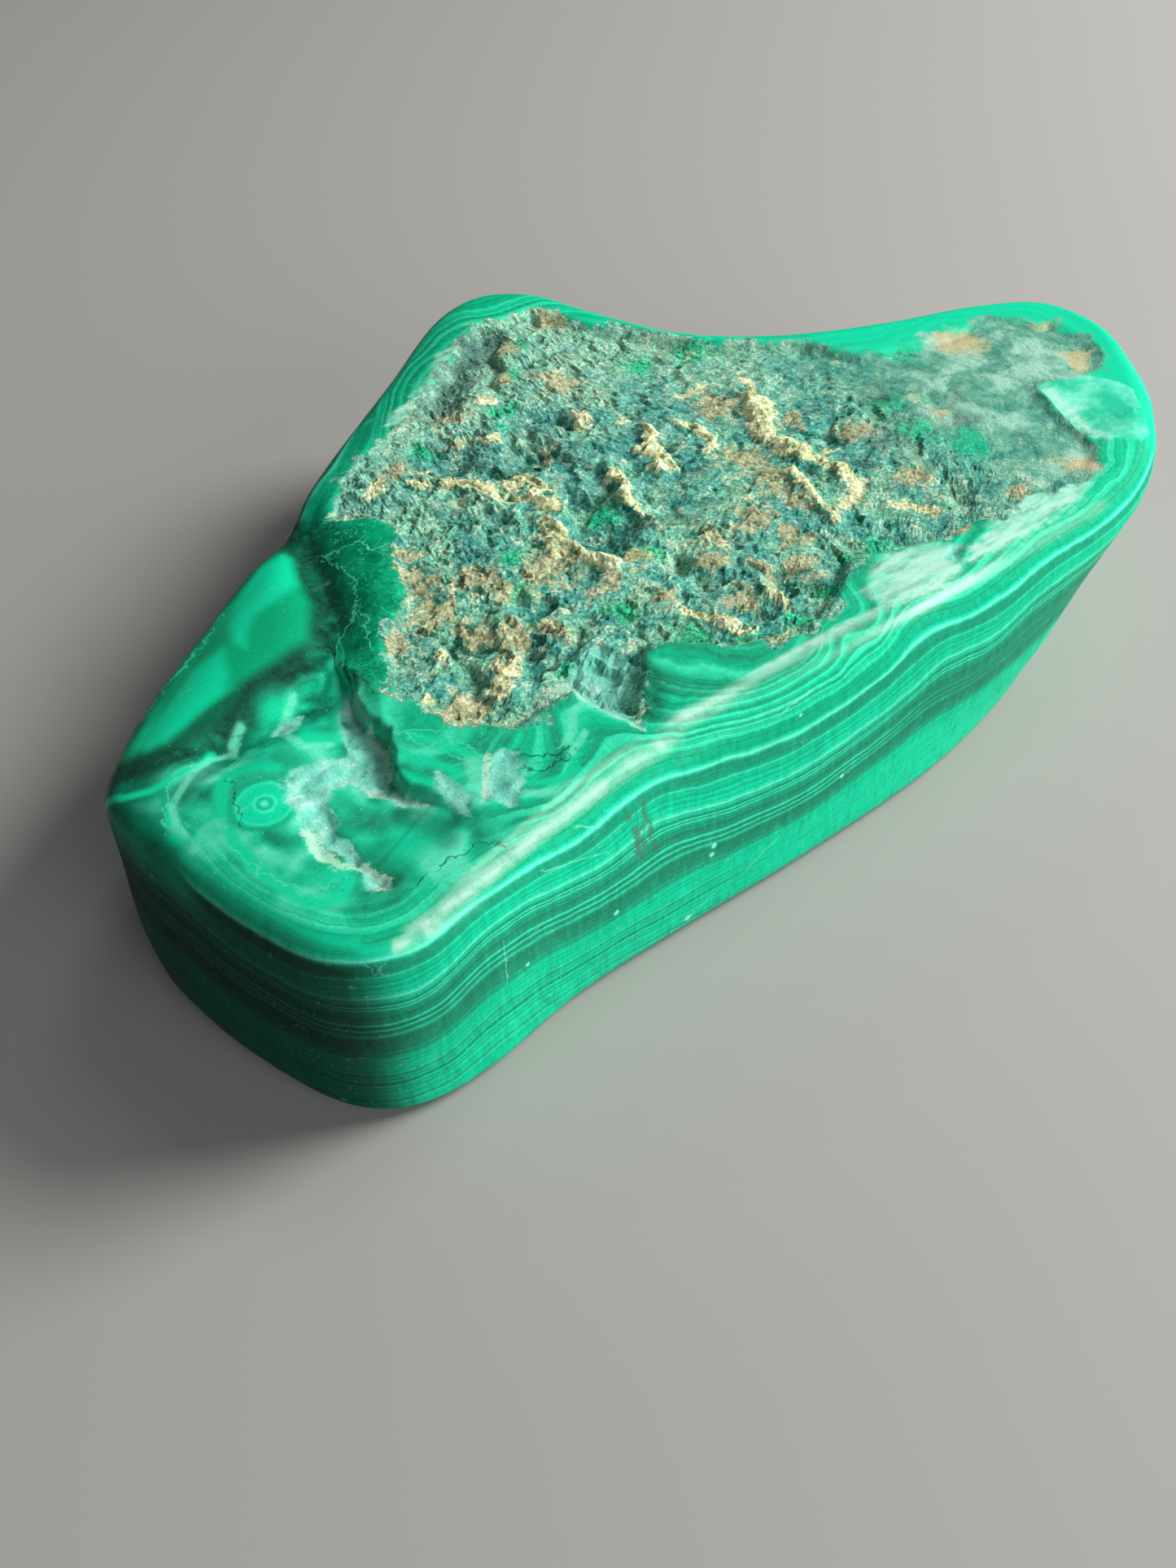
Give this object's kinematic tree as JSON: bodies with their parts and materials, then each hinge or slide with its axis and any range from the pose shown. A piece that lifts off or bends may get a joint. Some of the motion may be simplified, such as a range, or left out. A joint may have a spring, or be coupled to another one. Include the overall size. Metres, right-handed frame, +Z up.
{
  "type": "polished malachite stone",
  "caption": "Free-form polished malachite stone with banded sides, a flat base and a rough natural crust left in its top face.",
  "frame": {"origin": "middle of the stone's overall box at the level of its flat base", "axes": "+X along the stone's longest dimension towards its rounded right lobe, +Y towards its back corner, +Z up from the flat base to the crusted top"},
  "size_m": [0.1116, 0.068, 0.0215],
  "materials": {
    "stone": "polished malachite in light and dark green bands with a soft gloss, and a matt teal and tan crust on the top"
  },
  "bodies": {
    "root": {"stone": "stone"}
  },
  "joints": []
}
